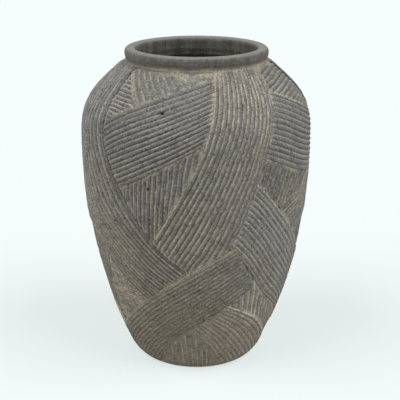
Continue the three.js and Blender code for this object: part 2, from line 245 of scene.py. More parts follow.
class VesselSizes(bpy.types.PropertyGroup):
    """Sizes of the turned forms. The wall's outline is the frame's own, of two curves."""

    height: length("Height", RIM_BOX[1].z, "From the floor to the top of the rim")
    neck_top: length("Neck top", WALL_BOXES["wall_shoulder"][1].z, "Height of the seat of the rim")
    lower_seam: length("Lower seam", WALL_BOXES["wall_foot"][1].z, "Top of the foot section")
    upper_seam: length("Upper seam", WALL_BOXES["wall_belly"][1].z, "Top of the belly section")
    foot_radius: length("Foot radius", 82 * MM, "Outer radius just over the foot's edge")
    foot_edge: length("Foot edge", 1.5 * MM, "Size of the rounded edge that the foot stands on")
    foot_recess: length("Foot recess", 4 * MM, "How far the underside is set up from the floor")
    ledge: length("Ledge", 6.5 * MM, "Width of the ledge that the base slab sits on")
    belly_radius: length("Belly radius", 140.4 * MM, "Outer radius at the widest part")
    belly_height: length("Belly height", 274.5 * MM, "Height of the widest part")
    neck_radius: length("Neck radius", 83.5 * MM, "Outer radius under the rim")
    wall: length("Wall", 8 * MM, "Thickness of the wall")
    foot_flare: angle("Foot flare", 22.1, "How far the wall leans out at the foot")
    shoulder_lean: angle("Shoulder lean", 48.6, "How far the wall leans in under the rim")
    foot_fullness: share("Foot fullness", 0.18, "Handle at the foot, by the curve's rise")
    below_fullness: share("Fullness below", 0.53, "Handle below the belly, by the curve's rise")
    above_fullness: share("Fullness above", 0.51, "Handle above the belly, by the curve's rise")
    shoulder_fullness: share("Shoulder fullness", 0.67, "Handle at the neck, by the curve's rise")
    rim_outer: length("Rim radius", -RIM_BOX[0].y, "Outer radius of the rolled rim")
    rim_width: length("Rim width", 14 * MM, "Width of the rolled rim across")
    neck_fillet: length("Neck fillet", 14 * MM, "Radius of the hollow inside, under the rim")
    throwing_rings: length("Throwing rings", 0.35 * MM, "Height of the finger marks inside")
    unevenness: length("Unevenness", 0.35 * MM, "How far the rim strays from the true round")


class CombSizes(bpy.types.PropertyGroup):
    """Sizes that all combed pieces share"""

    bare_foot: length("Bare foot", 3 * MM, "Height of the foot that is left bare")
    slip: length("Slip gap", 0.3 * MM, "Gap under the rim")
    bedding: length("Bedding", 0.8 * MM, "How far a piece is bedded in the wall")
    press_out: length("Pressed outside", 1.2 * MM, "Where clay starts to dip beside a later piece")
    seam_wash: length("Seam wash", 4.6 * MM, "How far the wash reaches from a later piece")
    press_in: length("Pressed inside", 3.0 * MM, "How far clay runs on under a later piece")
    edge_round: length("Edge round", 1.7 * MM, "Rounding of a piece's own edges")
    edge_line: length("Edge line", 2.4 * MM, "Width of the pale line along an edge")
    row_step: length("Row step", 1.5 * MM, "Spacing of the mesh along the comb's way")
    wobble: length("Wobble", 0.4 * MM, "How far comb marks stray sideways")
    swell: length("Swell", 0.22 * MM, "Height of the low waves over a piece")
    crumble: length("Crumble", 0.11 * MM, "Height of the crumbs that the comb left")
    foot_taper: length("Foot taper", 8 * MM, "Height over which pieces thin out at the foot")
    neck_taper: length("Neck taper", 8 * MM, "Height over which pieces thin out under the rim")
    rim_wash: length("Rim wash", 10.5 * MM, "How far the wash reaches down from the rim")
    crest_shape: share("Crest shape", 0.9, "Power of the ribs' curve: lower gives broader crests")
    rib_columns: bpy.props.IntProperty(
        name="Rib columns", description="Columns of the mesh across one rib", default=8, min=4
    )


class ClayColours(bpy.types.PropertyGroup):
    """Colours of the fired clay and of the wash rubbed into it"""

    grey: colour("Grey clay", (0.188, 0.187, 0.181), "Clay of the shoulder and belly")
    brown: colour("Brown clay", (0.200, 0.178, 0.141), "Clay towards the foot")
    rim: colour("Rim clay", (0.234, 0.230, 0.215), "Smoothed clay of the rim")
    # Blotches and painted shade: this darkens the rim's outer face, while its top keeps the
    # lighter rim clay
    rim_blotch_shade: colour("Rim shade", (0.112, 0.103, 0.086), "Dark blotches on the rim")
    # Painted light: the inside clay is paler than the outside clay, to make up for the dim inside
    # of the vase
    inside: colour("Inside clay", (0.230, 0.225, 0.190), "Clay inside")
    raw: colour("Raw clay", (0.480, 0.390, 0.310), "Unwashed clay of the foot and the base")
    wash: colour("Sand wash", (0.560, 0.508, 0.385), "Pale wash in the grooves")
    # Near-black painted shade for the hollows of the pits
    pit_shade: colour("Pits", (0.012, 0.011, 0.009), "Holes in the clay")


class StageSettings(bpy.types.PropertyGroup):
    """Camera, light and floor"""

    camera_back: length("Camera distance", 1.0, "From the vase's axis to the camera")
    camera_height: length("Camera height", 0.5596, "Height of the camera")
    camera_pitch: angle("Camera pitch", 19.79, "How far the camera looks down")
    lens: share("Lens", 73.55, "Focal length in millimetres on a 36 mm sensor")
    shift: share("Shift", 0.009, "Sideways shift of the lens")
    backdrop: colour("Backdrop", (0.913, 0.991, 0.982), "Colour of the background")
    paper: colour("Floor", (0.50, 0.50, 0.50), "How much light the floor throws back on the vase")
    glow: share("Floor glow", 0.6, "Share of the floor's look that no shadow darkens")
    floor_light: share("Floor light", 1.13, "Light on the floor, by which its colour is divided")
    sky: share("Sky", 0.37, "Strength of the even light from all round")
    lamp: share("Lamps", 1.7, "Strength of the soft lamps on the left and the right")
    lamp_tilt: angle("Lamp tilt", 40, "How far the lamps stand from overhead")
    lamp_turn: angle("Lamp turn", 70, "How far the lamps stand round from the front")
    lamp_spread: angle("Lamp spread", 45, "Size of a lamp as seen from the vase")
    floor_size: length("Floor size", 14.0, "Width of the floor")


class WallCurve:
    """The wall's outer line: its radius, its lean and the way along the clay at any height"""

    STEPS = 400

    def __init__(self, sizes):
        lower = sizes.belly_height - sizes.foot_edge
        upper = sizes.neck_top - sizes.belly_height
        foot = np.array((sizes.foot_radius, sizes.foot_edge))
        belly = np.array((sizes.belly_radius, sizes.belly_height))
        neck = np.array((sizes.neck_radius, sizes.neck_top))
        flare = np.array((math.sin(sizes.foot_flare), math.cos(sizes.foot_flare)))
        lean = np.array((math.sin(sizes.shoulder_lean), -math.cos(sizes.shoulder_lean)))
        up = np.array((0.0, 1.0))
        below = self.curve(
            foot,
            foot + sizes.foot_fullness * lower * flare,
            belly - sizes.below_fullness * lower * up,
            belly,
        )
        above = self.curve(
            belly,
            belly + sizes.above_fullness * upper * up,
            neck + sizes.shoulder_fullness * upper * lean,
            neck,
        )
        points = np.concatenate((below, above[1:]))
        steps = np.diff(points, axis=0)
        self.radii, self.heights = points.T
        between = (self.heights[1:] + self.heights[:-1]) / 2
        self.leans = np.interp(self.heights, between, np.arctan2(steps[:, 0], steps[:, 1]))
        self.runs = np.concatenate(((0,), np.cumsum(np.hypot(*steps.T))))

    def curve(self, a, b, c, d):
        t = np.linspace(0, 1, self.STEPS)[:, None]
        s = 1 - t
        return s**3 * a + 3 * s**2 * t * b + 3 * s * t**2 * c + t**3 * d

    def radius(self, height):
        return np.interp(height, self.heights, self.radii)

    def lean(self, height):
        return np.interp(height, self.heights, self.leans)

    def run(self, height):
        return np.interp(height, self.heights, self.runs)

    def offset(self, height, distance):
        return self.radius(height) + distance / np.cos(self.lean(height))

    def over(self, degrees, height, lift):
        """Points a lift off the wall, square to it"""
        lean = self.lean(height)
        turn = np.radians(degrees)
        reach = self.radius(height) + lift * np.cos(lean)
        up = height - lift * np.sin(lean)
        return np.stack((reach * np.sin(turn), -reach * np.cos(turn), up), -1)


def smoothstep(low, high, value):
    t = np.clip((value - low) / (high - low), 0, 1)
    return t * t * (3 - 2 * t)


# Smallest and largest waves, by the size of the humps
WAVE_SIZES = (0.8, 2.2)


def waves(points, size, seed, count=9):
    """Smooth unevenness at points, mostly between -1 and 1, with humps of about the given size"""
    draw = np.random.default_rng(seed)
    total = 0.0
    for _ in range(count):
        way = draw.normal(size=3)
        way *= 2 * math.pi / (size * draw.uniform(*WAVE_SIZES) * np.linalg.norm(way))
        total = total + np.sin(points @ way + draw.uniform(0, 2 * math.pi))
    return total / math.sqrt(count)


def crumbs(shape, seed):
    """Small random roughness over a grid, a little smoothed, of spread about one"""
    field = np.random.default_rng(seed).normal(size=shape)
    for axis, passes in ((0, 1), (1, 2)):
        last = shape[axis] - 1
        ahead = np.minimum(np.arange(last + 1) + 1, last)
        behind = np.maximum(np.arange(last + 1) - 1, 0)
        for _ in range(passes):
            field = (np.take(field, ahead, axis) + 2 * field + np.take(field, behind, axis)) / 4
    return field / field.std()


def smooth_edge(points, shares, steps=400):
    """Places on a smooth curve through the points, spread evenly along it"""
    points = np.array(points, float)
    last = len(points) - 1
    at = np.linspace(0, last, steps)
    span = np.minimum(at.astype(int), last - 1)
    t = (at - span)[:, None]
    p0, p1 = points[np.maximum(span - 1, 0)], points[span]
    p2, p3 = points[span + 1], points[np.minimum(span + 2, last)]
    v0, v1 = (p2 - p0) / 2, (p3 - p1) / 2
    square = -3 * p1 + 3 * p2 - 2 * v0 - v1
    curve = (2 * p1 - 2 * p2 + v0 + v1) * t**3 + square * t**2 + v0 * t + p1
    way = np.concatenate(((0,), np.cumsum(np.hypot(*np.diff(curve, axis=0).T))))
    return np.stack([np.interp(shares * way[-1], way, curve[:, axis]) for axis in (0, 1)], -1)


def bell(offset, width):
    """One in the middle, falling off over a width on both sides"""
    return np.exp(-((offset / width) ** 2))


class CombedPiece:
    """One combed piece of the front: its mesh grid, and how high the clay stands over the wall"""

    SEED_STEP = 100
    OUTLINE_STEPS = 40
    LEAST_ROWS = 12
    # Places of the mesh columns across a margin, closest at the outer edge
    MARGIN_STEPS = np.array((0, 0.04, 0.12, 0.24, 0.4, 0.55, 0.6625, 0.775, 0.8875))
    # Waves over the piece: the seed, the size of the humps in metres, how much shorter across
    WAVES = {
        "stray": (1, 0.045, 1), "jitter": (2, 0.016, 1), "uneven": (4, 0.05, 4),
        "broken": (5, 0.012, 2), "swell": (6, 0.03, 1), "drip": (8, 0.02, 1),
    }
    TEETH_SEED, CRUMBS_SEED = 3, 7
    JITTER = 0.2
    TOOTH_DEPTHS = (0.75, 1.25)
    FADE = (0.25, 0.8)
    # How unevenly a thing lies: its middle, what the two waves add to it, its least and most
    GROOVE_DEPTH = (0.95, 0.15, 0.1, 0.4, 1.4)
    WASH_COVER = (0.9, 0.32, 0.35, 0.1, 1.3)
    MARGIN_COVER = (0.8, 0.5, 0.0, 0.2, 1.0)
    SEAM_COVER = (0.75, 0.45, 0.3, 0.1, 0.95)
    LINE_COVER = (0.85, 0.4, 0.0, 0.1, 1.0)
    # Shares of the full thickness that are left at the foot and under the rim
    FOOT_THIN, NECK_THIN = 0.25, 0.4
    THIN_BELOW = 2 * MM
    PIT_EDGE = (1.0, 0.6)
    PIT_FLOOR, PIT_DEPTH = 0.4 * MM, 1.8 * MM
    OWN_EDGE = 1 * MM
    SUNK = 0.5 * MM
    # Across a rib, as shares of it: where wash and painted shade lie beside the groove, and how
    # wide. The sand wash sits on the groove's side that faces up, so it is partly painted light
    # from above, and the painted shade sits on the side that faces down.
    WASH_PLACE, WASH_WIDTH = 0.15, 0.17
    SHADE_PLACE, SHADE_WIDTHS = 0.12, (0.13, 0.24)
    CREST_WIDTH = 0.22
    SHADE_WIDTH = 0.75 * MM
    DEEPEST = 1.1
    LEAST_TILT = 0.3
    # Shares of their reach within which washes are full
    LINE_CORE, SEAM_CORE, RIM_CORE = 0.4, 0.1, 0.2
    DRIPS, DRIP_RANGE = 0.5, (0.3, 2)
    # The wash under the rim: on the left, what it gains to the right, and the degrees between
    RIM_LEFT, RIM_GAIN, RIM_TURN = 0.1, 0.75, (-40, -2)
    NEAR_DEGREES = 6
    FAR = 1.0
    LEVEL = 1e-6

    def __init__(self, plan, wall, sizes, comb, order):
        self.plan = {**PLAIN, **plan}
        self.wall, self.sizes, self.comb = wall, sizes, comb
        self.neck = sizes.neck_top - comb.slip
        self.seed = self.SEED_STEP * order
        self.shares = np.linspace(0, 1, self.OUTLINE_STEPS)
        left, right = (smooth_edge(self.plan[side], self.shares) for side in ("left", "right"))
        loop = np.concatenate((left, right[::-1]))
        self.outline = np.stack((loop[:, 0], wall.run(self.heights_of(loop[:, 1]))), -1)

    def lay(self, later):
        """Combs the piece, and presses it down under the pieces laid after it"""
        self.make_grid()
        self.measure_gaps(later)
        self.uneven, self.broken = self.waves("uneven"), self.waves("broken")
        self.edge = np.minimum(self.columns, 1 - self.columns) * self.width
        self.rib, self.depth = self.comb_marks()
        self.pits = self.pit_mask()
        self.lift = self.make_lift()
        self.shade, on_crest = self.make_shade()
        self.wash = self.make_wash(on_crest)

    def heights_of(self, percent):
        return np.asarray(percent) / 100 * self.sizes.height

    def on_wall(self, line):
        return self.wall.over(line[:, 0], self.heights_of(line[:, 1]), 0)

    def waves(self, name):
        seed, size, shorter = self.WAVES[name]
        return waves(self.flat * (1, shorter, 1), size, self.seed + seed)

    def mottled(self, middle, uneven, broken, least, most):
        return np.clip(middle + uneven * self.uneven + broken * self.broken, least, most)

    def make_grid(self):
        comb, plan = self.comb, self.plan
        lines = plan.get("comb", (plan["left"], plan["right"]))
        ends = [self.on_wall(smooth_edge(line, self.shares)) for line in lines]
        self.width = np.linalg.norm(ends[1] - ends[0], axis=1).mean()
        way = max(np.linalg.norm(np.diff(edge, axis=0), axis=1).sum() for edge in ends)
        rows = np.linspace(0, 1, max(self.LEAST_ROWS, int(way / comb.row_step)))
        self.columns, self.phase = self.make_columns()
        along = rows[:, None] * way + 0 * self.columns
        across = self.columns * self.width + 0 * along
        self.flat = np.stack((along, across, 0 * along), -1)
        stray = self.waves("stray") + self.JITTER * self.waves("jitter")
        held = np.minimum(1, 6 * self.columns * (1 - self.columns))
        place = self.columns + stray * comb.wobble / self.width * held
        left, right = (smooth_edge(line, rows) for line in lines)
        sweep = self.on_wall(right) - self.on_wall(left)
        down = -sweep[:, 2:] / np.linalg.norm(sweep, axis=1, keepdims=True)
        self.tilt = 0 * down + plan["tilt"] if "tilt" in plan else down
        self.degrees = left[:, :1] * (1 - place) + right[:, :1] * place
        percent = left[:, 1:] * (1 - place) + right[:, 1:] * place
        self.height = np.clip(self.heights_of(percent), comb.bare_foot, self.neck)

    def make_columns(self):
        """Shares across the piece, and the comb's phase at each. Whole numbers are grooves; below
        zero and above the number of ribs lie the margins."""
        ribs, steps = self.plan["ribs"], self.MARGIN_STEPS
        per_rib = self.plan.get("columns", self.comb.rib_columns)
        start, end = (border * MM / self.width for border in self.plan["border"])
        phase = np.arange(ribs * per_rib + 1) / per_rib
        inner = start + (1 - start - end) * phase / ribs
        columns = np.concatenate((start * steps, inner, 1 - end * steps[::-1]))
        return columns, np.concatenate((steps - 1, phase, ribs + 1 - steps[::-1]))

    def measure_gaps(self, later):
        """Distance of each point of the grid outside the outlines of the pieces laid after it, and
        outside the piece's own outline where the comb ran across that"""
        radius = self.wall.radius(self.height)
        run = self.wall.run(self.height)
        self.gap = np.full(self.height.shape, self.FAR)
        self.own = np.full(self.height.shape, -self.FAR)
        if "comb" in self.plan:
            own = outside_distance(self.outline, self.degrees.ravel(), run.ravel(), radius.ravel())
            self.own = own.reshape(self.height.shape)
        reach = self.comb.seam_wash + self.comb.press_in
        margin = np.array((self.NEAR_DEGREES, reach))
        for piece, turn in later:
            outline = piece.outline + np.array((turn, 0.0))
            low, high = outline.min(0) - margin, outline.max(0) + margin
            near = (self.degrees > low[0]) & (self.degrees < high[0])
            near &= (run > low[1]) & (run < high[1])
            if near.any():
                gap = outside_distance(outline, self.degrees[near], run[near], radius[near])
                self.gap[near] = np.minimum(self.gap[near], gap)

    def comb_marks(self):
        """Share of its full height that each column's rib has, and how deep the comb went there"""
        plan, ribs, phase = self.plan, self.plan["ribs"], self.phase
        from_groove = np.maximum(-phase, phase - ribs)
        rise = np.where(from_groove > 0, np.minimum(0.5, from_groove), phase % 1)
        rib = np.sin(math.pi * rise) ** plan.get("round", self.comb.crest_shape)
        draw = np.random.default_rng(self.seed + self.TEETH_SEED)
        depth = np.interp(phase, np.arange(ribs + 1), draw.uniform(*self.TOOTH_DEPTHS, ribs + 1))
        start, end = plan["strength"]
        return rib, depth * (start + (end - start) * smoothstep(*self.FADE, self.columns))

    def pit_mask(self):
        pits = np.zeros_like(self.height)
        for name, degrees, percent, radius in PITS:
            if name == self.plan["name"]:
                around = np.radians(self.degrees - degrees) * self.wall.radius(self.height)
                up = self.wall.run(self.height) - self.wall.run(self.heights_of(percent))
                share_out = np.hypot(around, up) / (radius * MM)
                pits = np.maximum(pits, smoothstep(*self.PIT_EDGE, share_out))
        return pits

    def make_lift(self):
        """Lift of the clay over the wall"""
        comb, plan = self.comb, self.plan
        cut = plan["groove"] * MM * self.depth * self.mottled(*self.GROOVE_DEPTH)
        fall = np.clip(1 - self.edge / comb.edge_round, 0, 1)
        rounding = comb.edge_round * (1 - np.sqrt(np.maximum(0, 1 - fall**2)))
        lift = plan["crest"] * MM - cut * (1 - self.rib) - rounding
        sides = (self.columns, 1 - self.columns)
        for border, drop, side in zip(plan["border"], plan["bevel"], sides):
            lift = lift - drop * MM * smoothstep(border * MM, 0, side * self.width)
        rough = crumbs(lift.shape, self.seed + self.CRUMBS_SEED) + self.broken
        lift = lift + comb.swell * self.waves("swell") + comb.crumble * rough
        foot = smoothstep(
            comb.bare_foot - self.THIN_BELOW, comb.bare_foot + comb.foot_taper, self.height
        )
        neck = smoothstep(self.neck, self.neck - comb.neck_taper, self.height)
        lift = lift * (self.FOOT_THIN + (1 - self.FOOT_THIN) * foot)
        lift = lift * (self.NECK_THIN + (1 - self.NECK_THIN) * neck)
        lift = lift - np.clip(lift - self.PIT_FLOOR, 0, self.PIT_DEPTH) * self.pits
        under = smoothstep(comb.press_out, -comb.press_in, self.gap)
        pressed = np.maximum(under, smoothstep(-self.OWN_EDGE, self.OWN_EDGE, self.own))
        return lift * (1 - pressed) - self.SUNK * pressed

    def at_edges(self, shares):
        """Shares for the left and right edges, held along the lines at these edges"""
        line = smoothstep(self.comb.edge_line, self.LINE_CORE * self.comb.edge_line, self.edge)
        return np.where(self.columns < 0.5, *shares) * line

    def make_shade(self):
        """Painted shade on the grooves' shaded sides and along some edges, below zero where the
        crests are paler, and how near a crest each point is
        """
        plan, ribs = self.plan, self.plan["ribs"]
        self.beside = self.phase - np.clip(np.round(self.phase), 0, ribs)
        self.deep = np.minimum(self.depth, self.DEEPEST)
        on_crest = bell(np.abs(self.beside) - 0.5, self.CREST_WIDTH)
        on_crest = on_crest * self.deep * self.mottled(*self.WASH_COVER)
        on_crest = on_crest * ((self.phase > 0) & (self.phase < ribs))
        width = np.clip(self.SHADE_WIDTH / (self.width / ribs), *self.SHADE_WIDTHS)
        # Painted shade on the side of each groove that faces down, away from the light above
        dark = bell(self.beside + self.SHADE_PLACE * self.tilt, width) * self.deep
        dark = dark * plan["shade"] * np.maximum(np.abs(self.tilt), self.LEAST_TILT)
        # Painted shadow along the very edges of the piece
        dark = np.maximum(dark, self.at_edges(plan["dim"]))
        return np.clip(dark - plan["light"] * on_crest, -1, 1), on_crest

    def make_wash(self, on_crest):
        """How much sand wash lies at each point"""
        comb, plan = self.comb, self.plan
        # Sand wash on the groove's upward side: real wash, and partly painted light from above
        hollow = plan["wash"] * bell(self.beside - self.WASH_PLACE * self.tilt, self.WASH_WIDTH)
        hollow = hollow * self.deep * self.mottled(*self.WASH_COVER)
        margins = np.select((self.phase < 0, self.phase > plan["ribs"]), plan["pale"], 0)
        margins = margins * self.rib * self.mottled(*self.MARGIN_COVER)
        seam = smoothstep(comb.seam_wash, self.SEAM_CORE * comb.seam_wash, self.gap)
        seam = seam * self.mottled(*self.SEAM_COVER) * plan["seam"]
        reach = comb.rim_wash * np.clip(1 + self.DRIPS * self.waves("drip"), *self.DRIP_RANGE)
        rim = smoothstep(self.neck - reach, self.neck - self.RIM_CORE * reach, self.height)
        rim = rim * (self.RIM_LEFT + self.RIM_GAIN * smoothstep(*self.RIM_TURN, self.degrees))
        line = self.at_edges(plan["line"]) * self.mottled(*self.LINE_COVER)
        washes = (hollow, plan["dust"] * on_crest, margins, seam, rim, line)
        return np.clip(np.maximum.reduce(washes), 0, 1)

    def kept_cells(self):
        """Cells of the grid that show, with a margin that runs on under later pieces"""
        show = (self.gap > -self.comb.press_in) & (self.own < self.comb.press_in)
        cells = np.any(cell_corners(show), axis=0)
        at_foot = self.height <= self.comb.bare_foot + self.LEVEL
        at_neck = self.height >= self.neck - self.LEVEL
        for level in (at_foot, at_neck):
            cells &= ~np.all(cell_corners(level), axis=0)
        return without_pinches(largest_patch(cells))

    def build(self, node, turn):
        degrees = self.degrees + math.degrees(turn)
        top = self.wall.over(degrees, self.height, self.lift)
        bed = self.wall.over(degrees, self.height, 0 * self.lift - self.comb.bedding)
        tone = 0 * self.lift + self.plan["tone"]
        masks = {"wash": self.wash, "shade": self.shade, "pit_shade": self.pits, "tone": tone}
        return ribbon_object(node + "_clay", top, bed, self.kept_cells(), masks)


def cell_corners(grid):
    """The four corners of every cell of a grid, in turn round it"""
    return grid[:-1, :-1], grid[1:, :-1], grid[1:, 1:], grid[:-1, 1:]


def outside_distance(outline, degrees, run, radius):
    """Distance of points from a loop on the wall, below zero inside it"""
    x = np.radians(outline[None, :, 0] - degrees[:, None]) * radius[:, None]
    y = outline[None, :, 1] - run[:, None]
    x_next, y_next = np.roll(x, -1, axis=1), np.roll(y, -1, axis=1)
    step_x, step_y = x_next - x, y_next - y
    size = np.maximum(step_x**2 + step_y**2, np.finfo(float).tiny)
    t = np.clip(-(x * step_x + y * step_y) / size, 0, 1)
    distance = np.sqrt(((x + t * step_x) ** 2 + (y + t * step_y) ** 2).min(1))
    spans = (y > 0) != (y_next > 0)
    crossing = x - y * step_x / np.where(spans, step_y, 1)
    inside = (spans & (crossing > 0)).sum(1) % 2 == 1
    return np.where(inside, -distance, distance)


def largest_patch(cells):
    """The largest joined patch of a grid of true and false cells"""
    labels = np.where(cells, np.arange(1, cells.size + 1).reshape(cells.shape), 0)
    while True:
        grown = labels.copy()
        grown[1:] = np.maximum(grown[1:], labels[:-1])
        grown[:-1] = np.maximum(grown[:-1], labels[1:])
        grown[:, 1:] = np.maximum(grown[:, 1:], labels[:, :-1])
        grown[:, :-1] = np.maximum(grown[:, :-1], labels[:, 1:])
        grown = np.where(cells, grown, 0)
        if (grown == labels).all():
            break
        labels = grown
    names, counts = np.unique(labels[cells], return_counts=True)
    return labels == names[counts.argmax()]


def without_pinches(cells):
    """Fills cells where two others would touch at a corner alone"""
    while True:
        a, b, c, d = cells[:-1, :-1], cells[:-1, 1:], cells[1:, :-1], cells[1:, 1:]
        falling = a & d & ~b & ~c
        rising = b & c & ~a & ~d
        if not (falling | rising).any():
            return cells
        cells = cells.copy()
        cells[:-1, 1:] |= falling
        cells[:-1, :-1] |= rising


def mesh_object(name, points, faces, masks, places):
    """A smooth mesh object of four-sided faces, with point masks and a map for baking"""
    mesh = bpy.data.meshes.new(name)
    mesh.vertices.add(len(points))
    mesh.vertices.foreach_set("co", points.astype(np.float32).ravel())
    mesh.loops.add(faces.size)
    mesh.loops.foreach_set("vertex_index", faces.astype(np.int32).ravel())
    mesh.polygons.add(len(faces))
    mesh.polygons.foreach_set("loop_start", np.arange(0, faces.size, 4, dtype=np.int32))
    mesh.update(calc_edges=True)
    for mask, values in masks.items():
        layer = mesh.attributes.new(mask, "FLOAT", "POINT")
        layer.data.foreach_set("value", values.astype(np.float32))
    layer = mesh.uv_layers.new(name=BAKE_MAP)
    layer.uv.foreach_set("vector", places.astype(np.float32).ravel())
    mesh.shade_smooth()
    if mesh.validate():
        raise RuntimeError(f"{name} has faces that don't hold")
    piece = bpy.data.objects.new(name, mesh)
    bpy.context.scene.collection.objects.link(piece)
    return piece


# On the map for baking, a ribbon's top fills most of the square, under strips for walls and bed
MAP_ACROSS, MAP_TOP, MAP_WALLS = (0.01, 0.99), (0.01, 0.9), (0.915, 0.94)
BED_START, BED_SHARE = 0.955, 0.04
# Share of the map that each cap of a turned form takes
CAP_SHARE = 0.02


def ribbon_object(name, top, bed, cells, masks):
    """A closed ribbon: the kept cells of a grid of points, a bed under them, walls round them"""
    rows, columns = cells.shape[0] + 1, cells.shape[1] + 1
    count = rows * columns
    corners = cell_corners(np.arange(count).reshape(rows, columns))
    upper = np.stack([corner[cells] for corner in corners], -1)
    ring = np.pad(cells, 1)
    beside = (ring[1:-1, :-2], ring[2:, 1:-1], ring[1:-1, 2:], ring[:-2, 1:-1])
    sides = []
    for corner, neighbour in enumerate(beside):
        open_cells = cells & ~neighbour
        first, second = (corners[(corner + ahead) % 4][open_cells] for ahead in (0, 1))
        sides.append(np.stack((second, first, first + count, second + count), -1))
    sides = np.concatenate(sides)
    faces = np.concatenate((upper, upper[:, ::-1] + count, sides))

    kept_rows, kept_columns = np.flatnonzero(cells.any(1)), np.flatnonzero(cells.any(0))
    u = np.interp(np.arange(rows), (kept_rows[0], kept_rows[-1] + 1), MAP_ACROSS)
    v = np.interp(np.arange(columns), (kept_columns[0], kept_columns[-1] + 1), MAP_TOP)
    on_top = np.stack((np.repeat(u, columns), np.tile(v, rows)), -1)
    on_bed = np.stack((on_top[:, 0], BED_START + BED_SHARE * on_top[:, 1]), -1)
    start = np.linspace(*MAP_ACROSS, len(sides) + 1)
    ends = np.stack((start[:-1], start[1:], start[1:], start[:-1]), -1)
    walls = np.stack((ends, np.broadcast_to(np.repeat(MAP_WALLS, 2), ends.shape)), -1)
    places = np.concatenate((on_top[upper], on_bed[upper[:, ::-1]], walls)).reshape(-1, 2)

    points = np.concatenate((top.reshape(-1, 3), bed.reshape(-1, 3)))
    used, faces = np.unique(faces, return_inverse=True)
    for mask, values in masks.items():
        masks[mask] = np.concatenate((values.ravel(), 0 * values.ravel()))[used]
    return mesh_object(name, points[used], faces.reshape(-1, 4), masks, places)


def turned_points(profile, steps):
    """Points of a line of (radius, height) points, turned about the axis"""
    turn = np.linspace(0, 2 * math.pi, steps, endpoint=False)[:, None]
    radius, height = profile[:, 0], profile[:, 1]
    return np.stack((radius * np.sin(turn), -radius * np.cos(turn), height + 0 * turn), -1)


def turned_object(name, points, masks, closed=True):
    """A turned form whose line is a closed loop, or runs from the axis to the axis"""
    steps, count = points.shape[:2]
    number = np.arange(steps * count).reshape(steps, count)
    way = np.linalg.norm(np.diff(points[0], axis=0, append=points[:1, 0]), axis=1)
    spans = count if closed else count - 1
    v = np.concatenate(((0,), np.cumsum(way[:spans])))
    v = v / v[-1] if closed else CAP_SHARE + (1 - 2 * CAP_SHARE) * v / v[-1]
    u = np.arange(steps + 1) / steps
    i, j = np.divmod(np.arange(steps * spans), spans)
    across = (j + 1) % count
    ahead = (i + 1) % steps
    faces = (number[i, j], number[ahead, j], number[ahead, across], number[i, across])
    faces = np.stack(faces, -1)
    places = np.stack((u[i], v[j], u[i + 1], v[j], u[i + 1], v[j + 1], u[i], v[j + 1]), -1)
    points = points.reshape(-1, 3)
    for mask, values in masks.items():
        masks[mask] = np.broadcast_to(values, (steps, count)).ravel()
    if not closed:
        k = np.arange(0, steps, 2)
        fan = np.stack((k, k + 1, (k + 2) % steps), -1)
        middle = np.full(len(k), steps * count)
        low = np.stack((middle, *(number[fan[:, corner], 0] for corner in (2, 1, 0))), -1)
        high = np.stack((middle + 1, *(number[fan[:, corner], -1] for corner in (0, 1, 2))), -1)
        faces = np.concatenate((faces, low, high))
        left, mid, right = u[k], u[k + 1], u[k + 2]
        flat = np.full(len(k), CAP_SHARE)
        low = np.stack((mid, 0 * mid, right, flat, mid, flat, left, flat), -1)
        high = np.stack((mid, 0 * mid + 1, left, 1 - flat, mid, 1 - flat, right, 1 - flat), -1)
        places = np.concatenate((places, low, high))
        centres = np.array([(0, 0, points[number[0, end], 2]) for end in (0, -1)])
        points = np.concatenate((points, centres))
        masks = {mask: np.append(values, values[[0, count - 1]]) for mask, values in masks.items()}
    return mesh_object(name, points, faces, masks, places.reshape(-1, 2))


class Nodes:
    """Builds a node tree in a few plain words"""

    # Sockets of a node that mixes colours
    FACTOR, FIRST, SECOND, MIXED = 0, 6, 7, 2
    # Nearly all values of a noise lie between these
    NOISE_SPREAD = (0.3, 0.7)

    def __init__(self, owner):
        owner.use_nodes = True
        self.tree = owner.node_tree

    def add(self, kind, inputs, output, **settings):
        """Adds a node with values or links at some inputs, and gives one of its outputs"""
        node = self.tree.nodes.new(kind)
        for setting, value in settings.items():
            setattr(node, setting, value)
        for socket, value in inputs.items():
            self.set(node.inputs[socket], value)
        return node.outputs[output]

    def set(self, socket, value):
        if isinstance(value, bpy.types.NodeSocket):
            self.tree.links.new(value, socket)
        else:
            socket.default_value = (*value, 1.0) if socket.type == "RGBA" else value

    def range(self, value, source, target):
        """A value brought from one range to another, and held inside it"""
        sockets = dict(zip(("From Min", "From Max", "To Min", "To Max"), (*source, *target)))
        return self.add("ShaderNodeMapRange", {"Value": value, **sockets}, "Result")

    def spread(self, noise, low, high):
        return self.range(noise, self.NOISE_SPREAD, (low, high))

    def math(self, operation, a, b):
        return self.add("ShaderNodeMath", {0: a, 1: b}, "Value", operation=operation)

    def clamped(self, value):
        return self.add("ShaderNodeClamp", {"Value": value}, "Result")

    def mix(self, factor, a, b, blend="MIX"):
        inputs = {self.FACTOR: factor, self.FIRST: a, self.SECOND: b}
        return self.add("ShaderNodeMix", inputs, self.MIXED, data_type="RGBA", blend_type=blend)

    def scaled(self, body, value):
        """A colour times a value"""
        inputs = dict.fromkeys(("Red", "Green", "Blue"), value)
        grey = self.add("ShaderNodeCombineColor", inputs, "Color")
        return self.mix(1.0, body, grey, "MULTIPLY")


